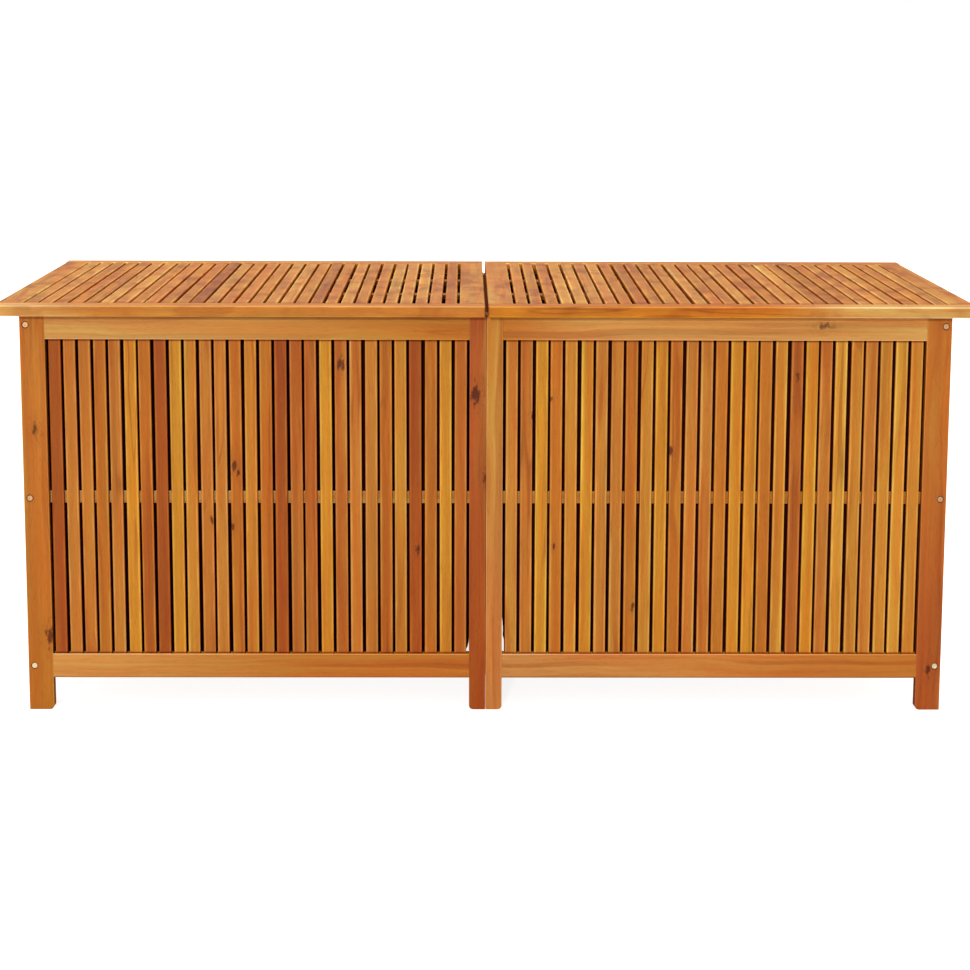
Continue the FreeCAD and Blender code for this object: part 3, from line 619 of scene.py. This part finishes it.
def bag_mesh(low, high):
    """Open bag as one grid: a base and four walls. Its vertices are named by their grid place."""
    counts = [max(2, round((high[axis] - low[axis]) / BAG_STEP)) for axis in range(3)]
    mesh, made = bmesh.new(), {}

    def corner(*place):
        if place not in made:
            made[place] = mesh.verts.new([low[axis] + (high[axis] - low[axis]) * place[axis] / counts[axis]
                                          for axis in range(3)])
        return made[place]

    def quad(*places):
        mesh.faces.new([corner(*place) for place in places])

    nx, ny, nz = counts
    for i in range(nx):
        for j in range(ny):
            quad((i, j, 0), (i + 1, j, 0), (i + 1, j + 1, 0), (i, j + 1, 0))
    for k in range(nz):
        for i in range(nx):
            quad((i, 0, k), (i, 0, k + 1), (i + 1, 0, k + 1), (i + 1, 0, k))
            quad((i, ny, k), (i + 1, ny, k), (i + 1, ny, k + 1), (i, ny, k + 1))
        for j in range(ny):
            quad((0, j, k), (0, j + 1, k), (0, j + 1, k + 1), (0, j, k + 1))
            quad((nx, j, k), (nx, j, k + 1), (nx, j + 1, k + 1), (nx, j + 1, k))
    rim = [(i, 0, nz) for i in range(nx)] + [(nx, j, nz) for j in range(ny)]
    rim += [(i, ny, nz) for i in range(nx, 0, -1)] + [(0, j, nz) for j in range(ny, 0, -1)]
    mesh.verts.index_update()
    order = [made[place].index for place in rim]
    data = bpy.data.meshes.new("bag")
    mesh.to_mesh(data)
    mesh.free()
    return data, order


def settle(piece, floor_height, chance):
    """Lets the bag hang from its studs and lie on the floor slats."""
    for vertex in piece.data.vertices:
        vertex.co += Vector([chance.uniform(-0.0006, 0.0006) for _ in range(3)])
    plane_data = bpy.data.meshes.new("bag_floor")
    reach = 2.0
    plane_data.from_pydata([(x, y, floor_height) for x, y in ((-reach, -reach), (reach, -reach), (reach, reach),
                                                              (-reach, reach))], [], [(0, 1, 2, 3)])
    plane = bpy.data.objects.new("bag_floor", plane_data)
    bpy.context.scene.collection.objects.link(plane)
    plane.modifiers.new("ground", "COLLISION")
    plane.collision.thickness_outer = 0.001
    plane.collision.cloth_friction = 20
    cloth = piece.modifiers.new("cloth", "CLOTH")
    settings = cloth.settings
    settings.quality, settings.mass, settings.air_damping = 6, 0.25, 3
    settings.tension_stiffness = settings.compression_stiffness = 12
    settings.shear_stiffness, settings.bending_stiffness = 6, 0.6
    settings.vertex_group_mass = "held"
    settings.shrink_min = -BAG_SLACK
    cloth.collision_settings.distance_min = 0.001
    scene = bpy.context.scene
    for frame_number in range(1, BAG_FRAMES + 1):
        scene.frame_set(frame_number)
    settled = bpy.data.meshes.new_from_object(piece.evaluated_get(bpy.context.evaluated_depsgraph_get()))
    piece.modifiers.clear()
    piece.data = settled
    bpy.data.objects.remove(plane)
    scene.frame_set(1)


def hem(name, rim, low, high):
    """Binding folded over the rim: a flat band that follows the settled cloth."""
    middle = (low + high) / 2
    count = len(rim)
    verts, faces = [], []
    for number, point in enumerate(rim):
        run = (rim[(number + 1) % count] - rim[number - 1]).normalized()
        inward = Vector((0, 0, 1)).cross(run).normalized()
        if inward.dot(middle - point) < 0:
            inward.negate()
        inner = inward * (BAG_THICK + HEM_THICK)
        drop = Vector((0, 0, HEM_WIDTH))
        verts += [point - inward * 0.0002, point + inner, point + inner - drop, point - inward * 0.0002 - drop]
    for number in range(count):
        after = (number + 1) % count
        for side in range(4):
            other = (side + 1) % 4
            faces.append((4 * number + side, 4 * number + other, 4 * after + other, 4 * after + side))
    data = bpy.data.meshes.new(name)
    data.from_pydata(verts, [], faces)
    made = bmesh.new()
    made.from_mesh(data)
    bmesh.ops.recalc_face_normals(made, faces=made.faces)
    made.to_mesh(data)
    made.free()
    piece = bpy.data.objects.new(name, data)
    bpy.context.scene.collection.objects.link(piece)
    ease = piece.modifiers.new("eased", "BEVEL")
    ease.width, ease.segments = 0.0004, 2
    return piece


def liner(side, lining, outside, binding, studs, chance):
    """Fabric bag of one compartment, hung from its press studs."""
    node = f"{side}_liner"
    low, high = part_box(node)
    data, rim = bag_mesh(low, high)
    piece = bpy.data.objects.new(f"{side}_bag", data)
    bpy.context.scene.collection.objects.link(piece)
    held = piece.vertex_groups.new(name="held")
    for vertex in data.vertices:
        near = min((Vector((vertex.co.x, vertex.co.y, vertex.co.z)) - stud).length for stud in studs)
        at_rim = vertex.co.z > high.z - BAG_STEP / 2
        if near < STUD_HOLD:
            held.add([vertex.index], 1.0, "REPLACE")
        elif at_rim:
            held.add([vertex.index], 0.25, "REPLACE")
    settle(piece, low.z, chance)
    for vertex in piece.data.vertices:
        for axis in range(3):
            vertex.co[axis] = min(max(vertex.co[axis], low[axis]), high[axis])
    binding_piece = hem(f"{side}_bag_hem", [piece.data.vertices[number].co.copy() for number in rim], low, high)
    smooth = piece.modifiers.new("smooth", "SUBSURF")
    smooth.levels = smooth.render_levels = 1
    thick = piece.modifiers.new("thick", "SOLIDIFY")
    thick.thickness, thick.offset = BAG_THICK, -1
    thick.material_offset = thick.material_offset_rim = 1
    piece.data.shade_smooth()
    for part, finishes in ((piece, (lining, outside)), (binding_piece, (binding,))):
        part.data.materials.clear()
        for finish in finishes:
            part.data.materials.append(finish)
        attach(part, "body")
    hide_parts(node)


def liners():
    chance = random.Random(5)
    lining = fabric("liner_inside", (0.036, 0.020, 0.014), (0.060, 0.036, 0.026))
    outside = fabric("liner_outside", (0.022, 0.0018, 0.0006), (0.040, 0.0035, 0.0012))
    binding = fabric("hem_fabric", (0.012, 0.0020, 0.0010), (0.020, 0.004, 0.002))
    studs = solid_centres("liner_studs")
    for side in ("left", "right"):
        liner(side, lining, outside, binding, studs, chance)


# --- Studio ---

SUNLIGHT = (1.0, 0.98, 0.90)


def sun(name, azimuth, elevation, strength, softness):
    """Distant soft light that comes from an azimuth (0 is the front, 90 the right) and elevation."""
    light = bpy.data.lights.new(name, "SUN")
    light.energy, light.angle = strength, math.radians(softness)
    light.color = SUNLIGHT
    lamp = bpy.data.objects.new(name, light)
    a, e = math.radians(azimuth), math.radians(elevation)
    towards = Vector((math.sin(a) * math.cos(e), -math.cos(a) * math.cos(e), math.sin(e)))
    lamp.rotation_euler = towards.to_track_quat("Z", "Y").to_euler()
    bpy.context.scene.collection.objects.link(lamp)


def studio():
    scene = bpy.context.scene
    scene.view_settings.view_transform = "Standard"
    world = bpy.data.worlds.new("studio")
    scene.world = world
    world.use_nodes = True
    graph = Graph(world.node_tree)
    world.node_tree.nodes.clear()
    seen = graph.node("ShaderNodeLightPath").outputs["Is Camera Ray"]
    height = graph.node("ShaderNodeSeparateXYZ", {0: graph.node("ShaderNodeTexCoord").outputs["Generated"]}).outputs[2]
    ceiling = graph.math("ADD", 0.10, graph.math("MULTIPLY", graph.smooth_step(height, 0.0, 0.6), 0.48))
    strength = graph.math("MAXIMUM", ceiling, seen)
    back = graph.node("ShaderNodeBackground", {"Color": (1, 1, 1, 1), "Strength": strength})
    graph.node("ShaderNodeOutputWorld", {"Surface": back.outputs[0]})
    sun("key", -8, 14, 1.25, 3)
    sun("front_fill", 5, 26, 0.20, 50)
    sun("top", 60, 72, 0.92, 40)
    sun("left_fill", -100, 25, 0.80, 50)
    sun("right_fill", 100, 25, 0.80, 50)
    sun("rear_fill", 185, 48, 0.97, 30)

    bpy.ops.mesh.primitive_plane_add(size=60, location=(0, 0, LOWEST.z))
    floor = bpy.context.object
    floor.name = "floor"
    material, graph, shader = new_material("floor_white")
    graph.feed(shader.inputs["Base Color"], (0.60, 0.60, 0.60, 1))
    graph.feed(shader.inputs["Roughness"], 0.9)
    graph.feed(shader.inputs["Emission Color"], (1, 1, 1, 1))
    seen = graph.node("ShaderNodeLightPath").outputs["Is Camera Ray"]
    graph.feed(shader.inputs["Emission Strength"], graph.math("MULTIPLY", seen, 0.87))
    floor.data.materials.append(material)


def camera():
    """Photograph's viewpoint: in front of the middle, a little above the lids."""
    data = bpy.data.cameras.new("camera")
    data.sensor_width = 36
    data.lens = 83.85
    data.shift_y = -0.103
    lens = bpy.data.objects.new("camera", data)
    bpy.context.scene.collection.objects.link(lens)
    bpy.context.scene.camera = lens
    back, rise, aside = 4.368, 1.230, -0.037
    pitch, turn, roll = math.radians(8.89), math.radians(0.495), math.radians(0.185)
    lens.location = (aside, -back, rise)
    aim = Matrix.Rotation(-turn, 4, "Z") @ Matrix.Rotation(math.pi / 2 - pitch, 4, "X")
    lens.matrix_world = Matrix.Translation(lens.location) @ aim @ Matrix.Rotation(roll, 4, "Z")


camera()
studio()
boards()
slats()
fittings()
liners()

bpy.context.view_layer.update()
